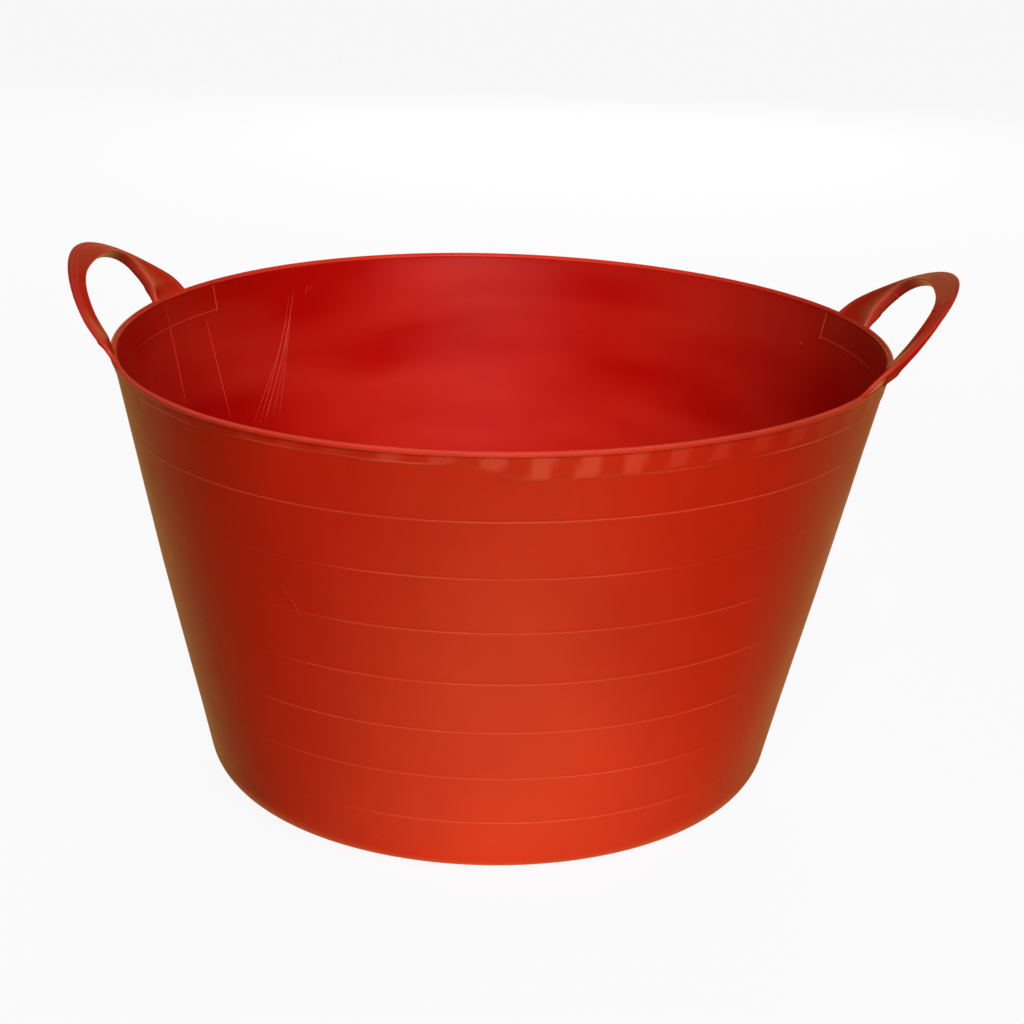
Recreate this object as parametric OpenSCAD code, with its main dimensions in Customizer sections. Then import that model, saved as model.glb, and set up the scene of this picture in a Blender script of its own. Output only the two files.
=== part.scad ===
// Flexible builder's tub: one moulding with a round tapered bowl and two loop handles.
// Millimetres, +Z up. The origin is the centre of the face the tub stands on.
// The two handles lie on the X axis: the left one at -X, the right one at +X.

/* [Bowl] */
// Outside diameter over the rim
rim_d = 500; // [440:5:560]
// Height from the ground to the top of the rim
tub_h = 296; // [270:2:330]
// Outside diameter of the wall's line carried down to the ground
base_d = 363; // [330:1:390]
// Thickness of the wall and the floor
wall_t = 3; // [2.4:0.1:4]
// Outside radius of the bend between the floor and the wall
heel_r = 29; // [20:1:36]
// How far the wall bows outward at half its height
wall_bow = 1.1; // [0:0.1:3]

/* [Rim] */
// Height of the rounded bead along the top edge
bead_h = 4.6; // [4:0.2:8]
// Thickness of the bead, in and out
bead_t = 5.2; // [4.6:0.2:8]
// Height of the thicker collar under the bead
collar_h = 11; // [8:1:16]
// How far the collar stands out of the wall
collar_step = 0.5; // [0.2:0.1:1.2]

/* [Wall lines] */
// Number of fine raised lines round the wall
line_count = 7; // [1:1:7]
// Height of the lowest line
line_first_z = 43; // [42:1:48]
// Distance from one line to the next
line_pitch = 35; // [20:1:35]
// How far the lines stand out
line_proud = 0.3; // [0.2:0.1:0.8]
// Height of each line
line_w = 0.8; // [0.6:0.1:2]

/* [Foot] */
// Height of the foot ring under the floor
foot_h = 1.5; // [1:0.5:3]
// Outside diameter of the foot ring
foot_d = 312; // [290:2:312]
// Width of the foot ring
foot_w = 9; // [6:1:14]

/* [Handles] */
// Height of each loop above the rim
loop_h = 51.5; // [48:0.5:56]
// Half the width of a loop where it meets the rim
root_half = 97; // [92:1:106]
// Half the width of the hand hole at the rim
hole_half = 57; // [50:1:60]
// Height of the hand hole above the rim
hole_h = 41.3; // [36:0.1:43]
// Thickness of the loop
loop_t = 7.5; // [6:0.5:9]
// Outward slope of a loop where it leaves the rim
loop_lean = 0.62; // [0:0.02:0.9]
// Outward curl of the loops, as the extra reach at 50 mm of height
loop_curl = 5; // [0:1:12]
// Half the width of the grip, between the two legs
grip_half = 40; // [30:1:46]
// Depth of the channel in the loop's outer face
channel_d = 2.2; // [1:0.2:3]
// Depth of the hollow in the inner face of each leg
hollow_d = 1.2; // [0.6:0.1:2]
// Gap between a loop and the rim it bends from
flex_gap = 0.4; // [0.3:0.1:0.8]

/* [Inside marks] */
// Height of the thin panel inside the rim at each handle
pad_h = 16; // [10:1:24]
// Half the angle that each panel spans
pad_half_a = 29; // [20:1:34]
// How far the panels and seams stand out
mark_t = 0.4; // [0.2:0.1:0.8]
// Length of each upright seam inside the wall
seam_len = 72; // [40:1:100]
// Width of each seam
seam_w = 0.9; // [0.6:0.1:2]

/* [Hidden] */
$fn = 96;
rim_r = rim_d / 2;
over = 1; // overlap past a face that is cut away

// The wall's outer line rises straight from base_d to just inside the bead, and bows out a little.
bead_proud = 1; // how far the bead stands out of the wall
taper = (rim_r - bead_proud - base_d / 2) / tub_h;
wall_a = atan(taper);
// The heel is an arc that meets the floor and the wall without a corner.
heel_z = foot_h + heel_r;
heel_c = base_d / 2 + taper * heel_z - heel_r / cos(wall_a);
wall_z0 = heel_z - heel_r * sin(wall_a);
wall_steps = 10;
bead_z0 = tub_h - bead_h;
collar_z0 = bead_z0 - collar_h;
pad_z0 = bead_z0 - pad_h;
// Upright seams: angle from the handle's middle, and height of the seam's top
seams = [[18, pad_z0], [30.5, pad_z0 - 3]];

// Sprue mark under the floor, inside the height of the foot ring
gate_r = 7;
gate_h = 0.8;

// Channel in the loop's outer face: its edges between the loop's outer edge (0) and the hole (1)
channel_from = 0.28;
channel_to = 0.72;
channel_foot = 16; // height of the channel's lower ends above the rim
hollow_from = 0.24;
hollow_to = 0.86;
hollow_foot = 3; // height of each hollow's lower end above the rim
bead_steps = 12; // flats round the bead's top
outline_steps = 12;
band_steps = 8;

function wall_u(z) = min(max((z - wall_z0) / (tub_h - wall_z0), 0), 1);
function wall_r(z) = base_d / 2 + taper * z + wall_bow * (1 - cos(360 * wall_u(z))) / 2;
function wall_pt(z, depth) = [wall_r(z) - depth * cos(wall_a), z + depth * sin(wall_a)];
function wall_line(depth) =
    [for (i = [0 : wall_steps]) wall_pt(wall_z0 + (tub_h - wall_z0) * i / wall_steps, depth)];
function reversed(points) = [for (i = [len(points) - 1 : -1 : 0]) points[i]];

// Fullness of the outlines: where each cubic curve's two inner control points lie,
// as shares of the outline's half width and height
outer_low = [0.86, 0.5];
outer_high = [0.48, 1];
hole_low = [1.35, 0.99];
hole_high = [0.77, 1];

// Half of a loop's outline, from the rim (t = 0) to the crown (t = 1), as [across, up]
function curve(a, b, c, d, t) =
    pow(1 - t, 3) * a + 3 * pow(1 - t, 2) * t * b + 3 * (1 - t) * t * t * c + pow(t, 3) * d;
function outline(half, height, low, high, t) =
    curve([half, 0], [half * low[0], height * low[1]], [half * high[0], height * high[1]], [0, height], t);
function outer_pt(t) = outline(root_half, loop_h, outer_low, outer_high, t);
function hole_pt(t) = outline(hole_half, hole_h, hole_low, hole_high, t);
function between(share, t) = outer_pt(t) * (1 - share) + hole_pt(t) * share;
// A whole outline, up one side and down the other, at a share of the way in to the hole
function arch(share) =
    let (side = [for (i = [0 : outline_steps]) between(share, i / outline_steps)])
    concat(side, [for (i = [outline_steps - 1 : -1 : 0]) [-side[i][0], side[i][1]]]);

// A loop leans and curls outward as it rises.
curl_h = 50; // the height at which loop_curl is reached
function reach(h) = loop_lean * h + loop_curl * pow(h / curl_h, 2);
function slope_a(h) = atan(loop_lean + 2 * loop_curl * h / pow(curl_h, 2));
function face_pt(h, depth) =
    [rim_r - loop_t + reach(h) + depth * cos(slope_a(h)), tub_h + h - depth * sin(slope_a(h))];
shell_low = -10;
shell_high = loop_h + 10;
function face_line(depth) =
    [for (i = [0 : band_steps]) face_pt(shell_low + (shell_high - shell_low) * i / band_steps, depth)];

// Section of the wall between two depths under its outer line, and two heights
module wall_section(depth0, depth1, z0, z1) {
    intersection() {
        polygon(concat(wall_line(depth0), reversed(wall_line(depth1))));
        translate([0, z0]) square([rim_d, z1 - z0]);
    }
}

module floor_disc() {
    color("firebrick")
        translate([0, 0, foot_h]) cylinder(r = heel_c, h = wall_t);
}

module foot_ring() {
    color("firebrick")
        rotate_extrude()
            translate([foot_d / 2 - foot_w, 0]) square([foot_w, foot_h]);
}

module gate_boss() {
    color("firebrick")
        translate([0, 0, foot_h - gate_h]) cylinder(r = gate_r, h = gate_h);
}

module heel() {
    far = 2 * heel_r;
    color("firebrick")
        rotate_extrude()
            translate([heel_c, heel_z])
                intersection() {
                    difference() {
                        circle(r = heel_r);
                        circle(r = heel_r - wall_t);
                    }
                    polygon([[0, 0], [0, -far], [far, -far], [far * cos(wall_a), -far * sin(wall_a)]]);
                }
}

module side_wall() {
    color("firebrick")
        rotate_extrude() wall_section(0, wall_t, 0, collar_z0);
}

module wall_rings() {
    color("red")
        for (i = [0 : line_count - 1])
            rotate_extrude() {
                z = line_first_z + i * line_pitch;
                wall_section(-line_proud, 0, z - line_w / 2, z + line_w / 2);
            }
}

module rim_collar() {
    color("firebrick")
        rotate_extrude() wall_section(-collar_step, wall_t, collar_z0, bead_z0);
}

module rim_bead() {
    round_r = bead_t / 2;
    middle = [rim_r - round_r, max(tub_h - round_r, bead_z0)];
    top = [for (i = [0 : bead_steps]) let (a = 180 * i / bead_steps) middle + round_r * [cos(a), sin(a)]];
    color("tomato")
        rotate_extrude()
            polygon(concat([[rim_r, bead_z0]], top, [[rim_r - bead_t, bead_z0]]));
}

// Part of the wall's inner skin, centred on +X
module inside_mark(angle, z0, z1) {
    rotate([0, 0, -angle / 2])
        rotate_extrude(angle = angle)
            wall_section(wall_t, wall_t + mark_t, z0, z1);
}

module left_insert_pad() {
    color("darkred")
        rotate([0, 0, 180]) inside_mark(2 * pad_half_a, pad_z0, bead_z0);
}

module right_insert_pad() {
    color("darkred") inside_mark(2 * pad_half_a, pad_z0, bead_z0);
}

module seam_lines() {
    seam_angle = seam_w / rim_r * 180 / PI;
    color("red")
        for (middle = [0, 180], side = [-1, 1], seam = seams)
            rotate([0, 0, middle + side * seam[0]])
                inside_mark(seam_angle, seam[1] - seam_len, seam[1]);
}

// Everything with the loop's outline that stands over the rim, between two edges of the outline
module arch_block(outer_share, hole_share, low) {
    translate([0, 0, tub_h])
        rotate([90, 0, 90])
            linear_extrude(height = rim_d)
                intersection() {
                    difference() {
                        polygon(arch(outer_share));
                        translate([0, -over]) polygon(arch(hole_share));
                    }
                    translate([-rim_r, low]) square([rim_d, loop_h]);
                }
}

// Curved shell that the loop is cut from, between two depths under its inner face
module lean_shell(depth0, depth1) {
    rotate([0, 0, -45])
        rotate_extrude(angle = 90)
            polygon(concat(face_line(depth0), reversed(face_line(depth1))));
}

// The slice of a loop from y0 to y1, on the +X side, with the channel in its outer face
module loop_slice(y0, y1) {
    difference() {
        intersection() {
            lean_shell(0, loop_t);
            arch_block(0, 1, flex_gap);
            translate([0, y0, tub_h]) cube([rim_d, y1 - y0, 2 * loop_h]);
        }
        intersection() {
            lean_shell(loop_t - channel_d, loop_t + over);
            arch_block(channel_from, channel_to, channel_foot);
        }
    }
}

// The rear leg, with the hollow in its inner face too
module leg() {
    difference() {
        loop_slice(grip_half, rim_r);
        intersection() {
            lean_shell(-over, hollow_d);
            arch_block(hollow_from, hollow_to, hollow_foot);
            translate([0, grip_half + hollow_foot, tub_h]) cube([rim_d, rim_r, loop_h]);
        }
    }
}

module left_handle_front_leg() {
    color("firebrick") mirror([1, 0, 0]) mirror([0, 1, 0]) leg();
}

module left_handle_rear_leg() {
    color("firebrick") mirror([1, 0, 0]) leg();
}

module left_handle_grip() {
    color("crimson") mirror([1, 0, 0]) loop_slice(-grip_half, grip_half);
}

module right_handle_front_leg() {
    color("firebrick") mirror([0, 1, 0]) leg();
}

module right_handle_rear_leg() {
    color("firebrick") leg();
}

module right_handle_grip() {
    color("crimson") loop_slice(-grip_half, grip_half);
}

floor_disc();
foot_ring();
gate_boss();
heel();
side_wall();
wall_rings();
rim_collar();
rim_bead();
left_insert_pad();
right_insert_pad();
seam_lines();
left_handle_front_leg();
left_handle_rear_leg();
left_handle_grip();
right_handle_front_leg();
right_handle_rear_leg();
right_handle_grip();
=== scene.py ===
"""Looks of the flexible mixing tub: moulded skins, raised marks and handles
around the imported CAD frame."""
import math

import bmesh
import bpy
import numpy as np
from mathutils import Matrix, Vector, noise


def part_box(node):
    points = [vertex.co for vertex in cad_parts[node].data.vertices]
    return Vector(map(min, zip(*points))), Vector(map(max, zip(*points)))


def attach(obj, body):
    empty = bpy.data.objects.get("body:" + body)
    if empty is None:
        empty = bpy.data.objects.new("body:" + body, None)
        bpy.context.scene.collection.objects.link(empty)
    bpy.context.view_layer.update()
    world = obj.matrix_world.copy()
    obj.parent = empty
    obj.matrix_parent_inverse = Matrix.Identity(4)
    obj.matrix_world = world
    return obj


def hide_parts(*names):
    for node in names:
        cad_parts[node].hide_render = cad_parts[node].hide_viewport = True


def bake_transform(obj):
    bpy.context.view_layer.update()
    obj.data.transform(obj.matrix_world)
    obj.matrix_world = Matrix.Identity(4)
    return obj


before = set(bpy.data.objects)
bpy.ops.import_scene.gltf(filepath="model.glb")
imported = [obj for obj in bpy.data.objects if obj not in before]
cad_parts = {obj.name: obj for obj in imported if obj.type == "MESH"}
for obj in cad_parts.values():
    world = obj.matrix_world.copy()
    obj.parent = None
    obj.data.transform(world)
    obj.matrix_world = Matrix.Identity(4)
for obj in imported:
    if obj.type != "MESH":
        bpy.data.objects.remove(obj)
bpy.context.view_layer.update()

MM = 0.001

# ---- sizes, from the frame (metres)
bead_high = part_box("rim_bead")[1]
collar_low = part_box("rim_collar")[0]
floor_low, floor_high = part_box("floor_disc")
foot_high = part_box("foot_ring")[1]
pad_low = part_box("right_insert_pad")[0]
grip_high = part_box("right_handle_grip")[1]
leg_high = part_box("right_handle_rear_leg")[1]

RIM_R = bead_high.y
RIM_Z = bead_high.z
COLLAR_Z = collar_low.z
FLOOR_Z = floor_low.z
WALL_T = floor_high.z - floor_low.z
HEEL_C = floor_high.x
FOOT_R = foot_high.x
PAD_Z = pad_low.z
LOOP_H = grip_high.z - RIM_Z
ROOT_HALF = leg_high.y

# Sizes that a box can't give
BEAD_T = 4.4 * MM      # across the rounded edge of the rim
BEAD_H = 2.8 * MM      # how much of it stands out below its top: slimmer than the CAD's bead
BEAD_PROUD = 1.0 * MM
BAND_DROP = 3.4 * MM   # how far the band's lowest edge hangs below the CAD's collar
COLLAR_STEP = 0.5 * MM
HEEL_R = 29 * MM
WALL_BOW = 1.1 * MM
FOOT_W = 9 * MM
GATE_R = 7 * MM
CURL_H = 50 * MM
LEFT_PAD_HALF = math.radians(31.9)
RIGHT_PAD_HALF = math.radians(27.5)
RIM_LOW = RIM_Z - BEAD_H
BAND_Z = COLLAR_Z - BAND_DROP
SUNK = 0.6 * MM        # how deep a mark's back lies in the wall

# The wall's line is tangent to the heel's arc and ends just inside the bead.
heel_centre = (HEEL_C, FLOOR_Z + HEEL_R)
top_dr = RIM_R - BEAD_PROUD - heel_centre[0]
top_dz = RIM_Z - heel_centre[1]
rise = math.atan2(top_dz, top_dr) + math.asin(HEEL_R / math.hypot(top_dr, top_dz))
WALL_NORMAL = (math.sin(rise), -math.cos(rise))
WALL_Z = heel_centre[1] + HEEL_R * WALL_NORMAL[1]
WALL_R = heel_centre[0] + HEEL_R * WALL_NORMAL[0]
TAPER = math.cos(rise) / math.sin(rise)


def wall_line(z):
    """Radius of the wall's outer line at height z."""
    share = np.clip((z - WALL_Z) / (RIM_Z - WALL_Z), 0, 1)
    return WALL_R + TAPER * (z - WALL_Z) + WALL_BOW * (1 - np.cos(2 * np.pi * share)) / 2


def smooth(x, low, high):
    """0 below low, 1 above high, smooth between."""
    t = np.clip((np.asarray(x, float) - low) / (high - low), 0, 1)
    return t * t * (3 - 2 * t)


# ---- mesh helpers
def make_object(name, points, faces, materials, face_materials=None, sharp=35):
    """A smooth-shaded mesh object with creases kept where faces turn by more than sharp degrees."""
    mesh = bpy.data.meshes.new(name)
    mesh.from_pydata([tuple(p) for p in np.asarray(points).reshape(-1, 3)], [], faces)
    for material in materials:
        mesh.materials.append(material)
    if face_materials is not None:
        mesh.polygons.foreach_set("material_index", np.asarray(face_materials, np.int32))
    mesh.polygons.foreach_set("use_smooth", np.ones(len(mesh.polygons), bool))
    mesh.set_sharp_from_angle(angle=math.radians(sharp))
    mesh.update()
    piece = bpy.data.objects.new(name, mesh)
    bpy.context.scene.collection.objects.link(piece)
    return piece


def outward(piece):
    """Turns every face of a closed mesh outward."""
    work = bmesh.new()
    work.from_mesh(piece.data)
    bmesh.ops.recalc_face_normals(work, faces=work.faces)
    work.to_mesh(piece.data)
    work.free()


def paint_pale(piece, amounts):
    """Writes how pale each point is painted, 0 to 1, for the material: mostly painted highlights and painted
    reflections, and the paler crests of some marks.
    """
    layer = piece.data.attributes.new("pale", "FLOAT", "POINT")
    layer.data.foreach_set("value", np.asarray(amounts, np.float32).ravel())


def part_of_tub(piece, slot, *nodes):
    """The piece moves with the tub and stands for the CAD nodes, if any; slot is not used."""
    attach(piece, "tub")
    if nodes:
        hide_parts(*nodes)


VIEW_TURN = math.radians(3.7)  # how far the handles' line is turned from square to the view
# How far the rim leans and bulges, in mm, for one, two and three waves round the tub
LEAN = 1.8
OVAL = 0.9
CORNERED = (3.0, -0.9)


def out_of_round(points):
    """The soft tub's lean and slightly three-cornered rim, growing from nothing at the floor."""
    points = np.asarray(points, float).reshape(-1, 3)
    angle = np.arctan2(points[:, 1], points[:, 0]) - VIEW_TURN
    share = np.clip(points[:, 2] / RIM_Z, 0, 1)
    lean = LEAN * np.cos(angle)
    lobes = OVAL * np.cos(2 * angle) + CORNERED[0] * np.cos(3 * angle) + CORNERED[1] * np.sin(3 * angle)
    push = (share * lean + share ** 2 * lobes) * MM
    radius = np.maximum(np.hypot(points[:, 0], points[:, 1]), 1e-9)
    warped = points.copy()
    warped[:, 0] += points[:, 0] / radius * push
    warped[:, 1] += points[:, 1] / radius * push
    return warped


def grid_faces(rows, columns, wrap_rows=False, wrap_columns=False):
    """Quads of a grid of points stored row by row."""
    faces = []
    for i in range(rows if wrap_rows else rows - 1):
        for j in range(columns if wrap_columns else columns - 1):
            k, m = (i + 1) % rows, (j + 1) % columns
            faces.append((i * columns + j, i * columns + m, k * columns + m, k * columns + j))
    return faces


ROUND = 432  # points round the tub
angles = np.linspace(0, 2 * np.pi, ROUND, endpoint=False)


def ripple(angle, z, seed, wave):
    """Soft unevenness of a moulded wall, between -1 and 1, at one place."""
    around = Vector((math.cos(angle), math.sin(angle), 0)) * (RIM_R / wave)
    return noise.noise(around + Vector((0, 0, 1.6 * z / wave + seed)))


def ripples(z, seed, wave):
    """ripple() at every angle round the tub."""
    return np.array([ripple(angle, z, seed, wave) for angle in angles])


def revolve(name, profile, materials, slots=None, uneven=None, sharp=35, pale=None):
    """A closed ring. profile is a closed loop of (radius, height), anticlockwise with the axis at the left.
    uneven(angles, row) gives each row's extra radius, and pale(angles, row) how pale it is painted: the
    painted highlights on the rings and the bead, the painted reflections on the band's flats, and the band's
    paler hairline."""
    rows = len(profile)
    points = np.zeros((rows, ROUND, 3))
    for i, (radius, height) in enumerate(profile):
        r = radius + (uneven(angles, i) if uneven else 0)
        points[i, :, 0] = r * np.cos(angles)
        points[i, :, 1] = r * np.sin(angles)
        points[i, :, 2] = height
    faces = grid_faces(rows, ROUND, wrap_rows=True, wrap_columns=True)
    face_materials = None
    if slots is not None:
        face_materials = np.repeat(slots, ROUND)
    piece = make_object(name, out_of_round(points), faces, materials, face_materials, sharp)
    if pale:
        paint_pale(piece, [pale(angles, i) + np.zeros(ROUND) for i in range(rows)])
    return piece


# ---- materials
FINISH = (("IOR", 1.5), ("Specular IOR Level", 0.36), ("Coat Weight", 0.06), ("Coat Roughness", 0.14))
DULLER, GLOSSIER = 0.07, 0.05   # how far the roughness strays from its middle
GLOSS_SCALE = 14
STREAK_SCALE = (90, 90, 5)      # narrow round the tub and long up the wall
GRAIN_SCALE = 620
GRAIN_DEPTH = 0.012 * MM
# The red that painted highlights, painted reflections and pale marks turn the plastic towards.
PALE_RED = (0.80, 0.17, 0.11, 1)


def node(tree, kind, **values):
    """A new node. in_0, in_1 and so on set its sockets by place, anything else is a setting."""
    made = tree.nodes.new(kind)
    for key, value in values.items():
        if key.startswith("in_"):
            made.inputs[int(key[3:])].default_value = value
        else:
            setattr(made, key, value)
    return made


def noise_value(tree, vector, scale, detail, roughness=0.5):
    """A soft noise, read at vector."""
    made = node(tree, "ShaderNodeTexNoise")
    made.inputs["Scale"].default_value = scale
    made.inputs["Detail"].default_value = detail
    made.inputs["Roughness"].default_value = roughness
    tree.links.new(vector, made.inputs["Vector"])
    return made.outputs["Fac"]


def mapped(tree, value, before, after, kind="LINEAR"):
    """Carries a value from the range before to the range after."""
    made = node(tree, "ShaderNodeMapRange", interpolation_type=kind)
    for place, number in enumerate((*before, *after)):
        made.inputs[place + 1].default_value = number
    tree.links.new(value, made.inputs[0])
    return made.outputs["Result"]


def stretched(tree, vector, scale):
    """The same place with each axis scaled."""
    made = node(tree, "ShaderNodeMapping")
    made.inputs["Scale"].default_value = scale
    tree.links.new(vector, made.inputs["Vector"])
    return made.outputs["Vector"]


def bumped(tree, height, depth, under=None):
    """A bumped normal, on top of another one if given."""
    made = node(tree, "ShaderNodeBump")
    made.inputs["Distance"].default_value = depth
    made.inputs["Strength"].default_value = 1.0
    tree.links.new(height, made.inputs["Height"])
    if under:
        tree.links.new(under, made.inputs["Normal"])
    return made.outputs["Normal"]


def plastic_colour(tree, place, clouds, deep, bright, streak):
    """Two close reds in clouds, with faint upright flow streaks, and paler where the mesh's pale attribute
    says so:
    painted highlights and painted reflections on crests, edges and flats, and the paler crests of some marks."""
    link = tree.links.new
    colours = node(tree, "ShaderNodeValToRGB")
    low, high = colours.color_ramp.elements
    low.position = 0.34
    low.color = (*deep, 1)
    high.position = 0.68
    high.color = (*bright, 1)
    link(clouds, colours.inputs["Fac"])
    flow = noise_value(tree, stretched(tree, place, STREAK_SCALE), 1.0, 3)
    tint = node(tree, "ShaderNodeVectorMath", operation="SCALE")
    link(colours.outputs["Color"], tint.inputs[0])
    link(mapped(tree, flow, (0.35, 0.7), (1.0 - streak, 1.0 + streak)), tint.inputs["Scale"])
    # The pale attribute: mostly painted highlights and painted reflections.
    painted_highlight_and_mark_pale = node(tree, "ShaderNodeAttribute", attribute_name="pale")
    highlight_and_mark_mix = node(tree, "ShaderNodeMix", data_type="RGBA")
    highlight_and_mark_mix.inputs[7].default_value = PALE_RED
    link(painted_highlight_and_mark_pale.outputs["Fac"], highlight_and_mark_mix.inputs[0])
    link(tint.outputs["Vector"], highlight_and_mark_mix.inputs[6])
    return highlight_and_mark_mix.outputs[2]


def plastic(name, deep, bright, roughness, cloud_scale, cloud_flat, wave_depth, streak=0.0):
    """Moulded polyethylene: two close reds in soft clouds, uneven gloss, slow waves and fine orange peel.
    cloud_flat is how many times wider than high the clouds are."""
    material = bpy.data.materials.new(name)
    material.use_nodes = True
    tree = material.node_tree
    link = tree.links.new
    shader = tree.nodes["Principled BSDF"]
    for socket, value in FINISH:
        shader.inputs[socket].default_value = value
    place = node(tree, "ShaderNodeTexCoord").outputs["Object"]
    clouds = noise_value(tree, stretched(tree, place, (1.0, 1.0, cloud_flat)), cloud_scale, 1.5, 0.4)
    link(plastic_colour(tree, place, clouds, deep, bright, streak), shader.inputs["Base Color"])
    gloss = noise_value(tree, place, GLOSS_SCALE, 6, 0.65)
    uneven = mapped(tree, gloss, (0.3, 0.75), (roughness - GLOSSIER, roughness + DULLER))
    link(uneven, shader.inputs["Roughness"])
    waves = bumped(tree, clouds, wave_depth)
    peel = bumped(tree, noise_value(tree, place, GRAIN_SCALE, 2), GRAIN_DEPTH, waves)
    link(peel, shader.inputs["Normal"])
    return material


# Deep and bright red, roughness, size and flatness of the clouds, depth of the waves, strength of the streaks
outer_plastic = plastic("outer_plastic", (0.40, 0.0055, 0.0006), (0.44, 0.0085, 0.0015),
                        0.40, 11, 0.7, 0.5 * MM, 0.02)
# The inside's red is a darker, less green copy of the outer red: painted shade inside the bowl.
inner_plastic = plastic("inner_plastic", (0.305, 0.0010, 0.0002), (0.365, 0.0090, 0.0040),
                        0.37, 8, 3.2, 1.3 * MM, 0.01)
# The rim's red is a paler, pinker copy of the outer red: a painted sheen on the rounded rim.
rim_plastic = plastic("rim_plastic", (0.44, 0.0120, 0.0045), (0.49, 0.0180, 0.0080),
                      0.30, 20, 1.0, 0.4 * MM, 0.01)
handle_plastic = plastic("handle_plastic", (0.41, 0.0085, 0.0022), (0.46, 0.0130, 0.0038),
                         0.30, 18, 1.0, 0.4 * MM, 0.01)
# A paler red for the fine marks: partly the marks' own paler plastic, partly a painted highlight on their
# thin crests.
mark_plastic = plastic("mark_plastic", (0.46, 0.0200, 0.0100), (0.52, 0.0300, 0.0160),
                       0.30, 30, 1.0, 0.1 * MM)
base_plastic = plastic("base_plastic", (0.36, 0.0070, 0.0015), (0.42, 0.0110, 0.0030),
                       0.50, 12, 1.0, 0.6 * MM, 0.01)


# ---- the bowl
RINGS = 7
RING_FIRST_Z = 43 * MM
RING_PITCH = 32.2 * MM
RING_SPREAD = 0.43 * MM  # how much further apart the lines are towards the rim
RING_PROUD = 0.34 * MM
RING_W = 0.9 * MM
# How pale a line's crest is painted: a painted highlight.
RING_PAINTED_HIGHLIGHT = 0.30
RING_FAINT = 0.10        # how much of a line is left where it hardly shows
# Where each line shows, from the lowest up: degrees from the front, towards the right handle
RING_ARCS = [(-24, 41), (-41, 39), (-43, 48), (-34, 50), (-30, 46), (-26, 27), (-71, 66)]
FRONT = VIEW_TURN - math.pi / 2


def ring_strength(angle, i):
    """How strongly line i stands out at an angle, 0 to 1: it comes and goes round the tub."""
    low, high = (math.radians(a) for a in RING_ARCS[i])
    middle, half = (low + high) / 2, (high - low) / 2
    strength = np.zeros_like(angle)
    for start, flip in ((FRONT, 1), (FRONT + math.pi, 1)):
        away = np.angle(np.exp(1j * (angle - start - flip * middle)))
        strength = np.maximum(strength, 1 - smooth(np.abs(away), half - 0.16, half + 0.05))
    wander = np.array([0.75 + 0.5 * ripple(a, 0, 31 + i, 0.09) for a in angle])
    return RING_FAINT + strength * np.clip(wander, 0.25, 1)


def uneven_wall(z, seed, depth):
    """Extra radius of the wall at height z: the slow waves of a soft moulding, calmer at its ends."""
    calm = float(smooth(z, WALL_Z, WALL_Z + 0.03) * (1 - smooth(z, BAND_Z - 0.02, BAND_Z)))
    return depth * calm * (ripples(z, seed, 0.11) + 0.5 * ripples(z, seed + 5, 0.05))


ring_heights = [RING_FIRST_Z + i * RING_PITCH + i * i * RING_SPREAD for i in range(RINGS)]
ring_now = [ring_strength(angles, i) for i in range(RINGS)]
# A line's section: offset from its middle in line widths, and share of its height
RING_SHAPE = [(-0.9, 0), (-0.5, 0.25), (-0.25, 0.85), (0, 1), (0.25, 0.85), (0.5, 0.25), (0.9, 0)]
OUTER_ROWS, INNER_ROWS = 56, 64
OUTER_WAVE, INNER_WAVE = 0.22 * MM, 0.42 * MM


def wall_rows():
    """Rows of the wall's outer face, upwards: (height, line or None, share of the line's full height)."""
    heights = [z for z in np.linspace(WALL_Z, BAND_Z, OUTER_ROWS)
               if all(abs(z - ring) > 1.2 * RING_W for ring in ring_heights)]
    rows = [(z, None, 0.0) for z in heights]
    for i, ring in enumerate(ring_heights):
        rows += [(ring + offset * RING_W, i, height) for offset, height in RING_SHAPE]
    return sorted(rows, key=lambda row: row[0])


def wall_inside():
    """Points of the wall's inner face, upwards, cut level where the band begins."""
    points = []
    for z in np.linspace(WALL_Z, BAND_Z, INNER_ROWS):
        points.append((float(wall_line(z)) - WALL_T * WALL_NORMAL[0], z - WALL_T * WALL_NORMAL[1]))
    last_r, last_z = points[-1]
    points[-1] = (last_r - TAPER * (last_z - BAND_Z), BAND_Z)
    return [point for point in points if point[1] <= BAND_Z]


def make_wall():
    """The tapered wall with its raised lines, from the heel to the band."""
    rows = wall_rows()
    outer = [(float(wall_line(z)), z) for z, _, _ in rows]
    inner = wall_inside()
    extra = []
    for z, ring, height in rows:
        bump = uneven_wall(z, 2.0, OUTER_WAVE)
        if ring is not None:
            bump = bump + RING_PROUD * height * ring_now[ring]
        extra.append(bump)
    extra += [uneven_wall(z, 9.0, INNER_WAVE) for _, z in reversed(inner)]
    slots = [0] * (len(outer) - 1) + [1] * (len(inner) + 1)

    # Each line's crest is painted paler: a painted highlight.
    def pale(_, i):
        ring = rows[i][1] if i < len(rows) else None
        return 0.0 if ring is None else RING_PAINTED_HIGHLIGHT * rows[i][2] * ring_now[ring]
    piece = revolve("tub_wall", outer + inner[::-1], [outer_plastic, inner_plastic], slots,
                    lambda _, i: extra[i], pale=pale)
    part_of_tub(piece, "wall_plastic", "side_wall", "wall_rings")


def heel_arc(radius, turns):
    """Points on an arc round the heel's centre."""
    middle, z = heel_centre
    return [(middle + radius * math.cos(turn), z + radius * math.sin(turn)) for turn in turns]


def make_heel():
    """The bend between the floor and the wall."""
    end = math.asin(-WALL_NORMAL[1])
    turns = np.linspace(-math.pi / 2, -end, 44)
    outer = heel_arc(HEEL_R, turns)
    inner = heel_arc(HEEL_R - WALL_T, turns)
    profile = outer + inner[::-1]
    slots = [0] * (len(outer) - 1) + [1] * (len(inner) + 1)
    piece = revolve("tub_heel", profile, [outer_plastic, inner_plastic], slots)
    part_of_tub(piece, "wall_plastic", "heel")


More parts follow.
